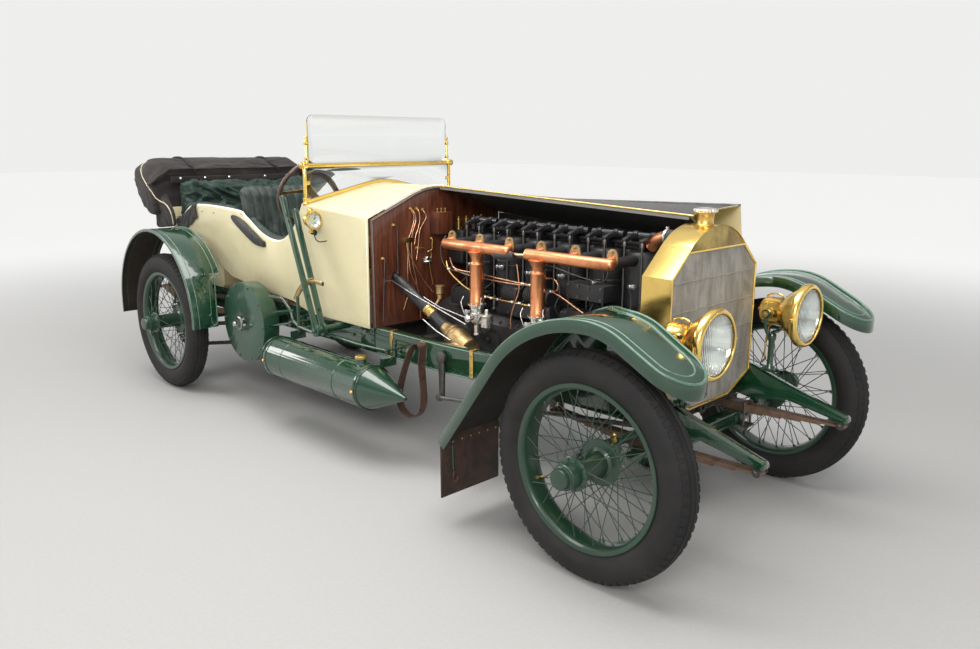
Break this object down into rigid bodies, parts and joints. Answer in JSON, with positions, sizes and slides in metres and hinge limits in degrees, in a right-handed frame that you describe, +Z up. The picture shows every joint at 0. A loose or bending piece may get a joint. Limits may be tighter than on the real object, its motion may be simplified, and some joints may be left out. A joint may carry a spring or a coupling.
{
  "type": "vintage car",
  "caption": "Open four-seat touring car with chain drive, wire wheels and tall brass radiator, one side of its bonnet folded back over a long engine.",
  "frame": {"origin": "on the floor under the middle of the overall length", "axes": "+X to the front of the car, +Y to its left, +Z up"},
  "size_m": [4.785, 1.824, 1.764],
  "materials": {
    "green_paint": "gloss green coach paint",
    "wheel_green": "gloss green paint, duller on the spokes",
    "cream_paint": "satin cream coach paint",
    "dark_tyre": "dark tread rubber",
    "engine_black": "black engine enamel",
    "dark_steel": "oiled dark steel",
    "chain_steel": "oiled chain steel",
    "copper": "polished copper",
    "nickel": "worn nickel plate",
    "bronze": "dull bronze with black tube",
    "polished_brass": "polished brass",
    "core_metal": "fine tubes with a grey patina",
    "mahogany": "varnished mahogany",
    "boards": "worn floor boards",
    "green_leather": "creased dark green leather",
    "hood_cloth": "black hood cloth",
    "clear_glass": "clear glass",
    "brown_leather": "worn brown leather"
  },
  "bodies": {
    "car": {"frame_rail_left": "green_paint", "frame_rail_right": "green_paint", "cross_members": "green_paint", "front_axle": "green_paint", "front_springs": "green_paint", "rear_axle": "green_paint", "rear_springs": "green_paint", "gearbox": "dark_steel", "drive_chains": "chain_steel", "chain_guards": "green_paint", "crankcase": "engine_black", "cylinders": "engine_black", "valve_gear": "dark_steel", "intake_manifolds": "copper", "carburettors": "nickel", "exhaust": "engine_black", "steering_gear": "bronze", "radiator_shell": "polished_brass", "radiator_core": "core_metal", "bulkhead": "mahogany", "cowl": "cream_paint", "body_side_left": "cream_paint", "body_side_right": "cream_paint", "body_rear": "cream_paint", "floor": "boards", "front_seat": "green_leather", "rear_seat": "green_leather", "folded_hood": "hood_cloth", "windscreen_frame": "polished_brass", "windscreen_glass": "clear_glass", "hand_levers": "dark_steel", "lamp_shells": "polished_brass", "lamp_lenses": "clear_glass", "lamp_brackets": "green_paint", "front_fender_left": "green_paint", "front_fender_right": "green_paint", "rear_fender_left": "green_paint", "rear_fender_right": "green_paint", "mudflaps": "brown_leather", "side_tank": "green_paint", "fuel_tank": "dark_steel", "bonnet_left": "cream_paint", "bonnet_strap": "brown_leather"},
    "steering_wheel": {"steering_wheel": "mahogany"},
    "pitman_arm": {"pitman_arm": "green_paint"},
    "drag_link": {"drag_link": "green_paint"},
    "knuckle_left": {"knuckle_left": "green_paint"},
    "knuckle_right": {"knuckle_right": "green_paint"},
    "tie_rod": {"tie_rod": "green_paint"},
    "bonnet_right_top": {"bonnet_right_top": "cream_paint"},
    "bonnet_right_side": {"bonnet_right_side": "cream_paint"},
    "wheel_front_left": {"tyre_front_left": "dark_tyre", "wheel_front_left": "wheel_green"},
    "wheel_front_right": {"tyre_front_right": "dark_tyre", "wheel_front_right": "wheel_green"},
    "wheel_rear_left": {"tyre_rear_left": "dark_tyre", "wheel_rear_left": "wheel_green"},
    "wheel_rear_right": {"tyre_rear_right": "dark_tyre", "wheel_rear_right": "wheel_green"}
  },
  "joints": [
    {"name": "steer_right", "type": "hinge", "parent": "car", "child": "knuckle_right", "pos_m": [1.8825, -0.588, 0.4475], "axis": [0, 0, 1], "range_deg": [-26, 26]},
    {"name": "steer_left", "type": "hinge", "parent": "car", "child": "knuckle_left", "pos_m": [1.8825, 0.588, 0.4475], "axis": [0, 0, 1], "range_deg": [-26, 26]},
    {"name": "tie_rod_swing", "type": "hinge", "parent": "knuckle_right", "child": "tie_rod", "pos_m": [1.7325, -0.588, 0.4048], "axis": [0, 0, 1], "range_deg": [-26, 26]},
    {"name": "pitman_swing", "type": "hinge", "parent": "car", "child": "pitman_arm", "pos_m": [0.7425, -0.446, 0.6], "axis": [0, 1, 0], "range_deg": [-22.88, 22.88]},
    {"name": "drag_link_level", "type": "hinge", "parent": "pitman_arm", "child": "drag_link", "pos_m": [0.7425, -0.47, 0.4], "axis": [0, 1, 0], "range_deg": [-22.88, 22.88]},
    {"name": "steering_wheel_turn", "type": "hinge", "parent": "car", "child": "steering_wheel", "pos_m": [-0.5868, -0.31, 1.3349], "axis": [-0.8862, 0, 0.4633], "range_deg": [-234, 234]},
    {"name": "spin_front_left", "type": "hinge", "parent": "knuckle_left", "child": "wheel_front_left", "pos_m": [1.8825, 0.7225, 0.4475], "axis": [0, 1, 0], "continuous": true},
    {"name": "spin_front_right", "type": "hinge", "parent": "knuckle_right", "child": "wheel_front_right", "pos_m": [1.8825, -0.7225, 0.4475], "axis": [0, 1, 0], "continuous": true},
    {"name": "spin_rear_left", "type": "hinge", "parent": "car", "child": "wheel_rear_left", "pos_m": [-1.6875, 0.7225, 0.4475], "axis": [0, 1, 0], "continuous": true},
    {"name": "spin_rear_right", "type": "hinge", "parent": "car", "child": "wheel_rear_right", "pos_m": [-1.6875, -0.7225, 0.4475], "axis": [0, 1, 0], "continuous": true},
    {"name": "bonnet_top", "type": "hinge", "parent": "car", "child": "bonnet_right_top", "pos_m": [0.2255, 0, 1.388], "axis": [0.9993, 0, -0.0375], "range_deg": [0, 209]},
    {"name": "bonnet_side", "type": "hinge", "parent": "bonnet_right_top", "child": "bonnet_right_side", "pos_m": [0.22847, 0.48343, 1.30495], "axis": [0.9983, -0.0513, 0.0293], "range_deg": [0, 150]}
  ],
  "couplings": [
    {"joint": "steer_left", "follows": "steer_right", "ratio": 1},
    {"joint": "tie_rod_swing", "follows": "steer_right", "ratio": -1},
    {"joint": "pitman_swing", "follows": "steer_right", "ratio": 0.88},
    {"joint": "drag_link_level", "follows": "steer_right", "ratio": -0.88},
    {"joint": "steering_wheel_turn", "follows": "steer_right", "ratio": 9},
    {"joint": "bonnet_side", "follows": "bonnet_top", "ratio": 0.7177}
  ]
}
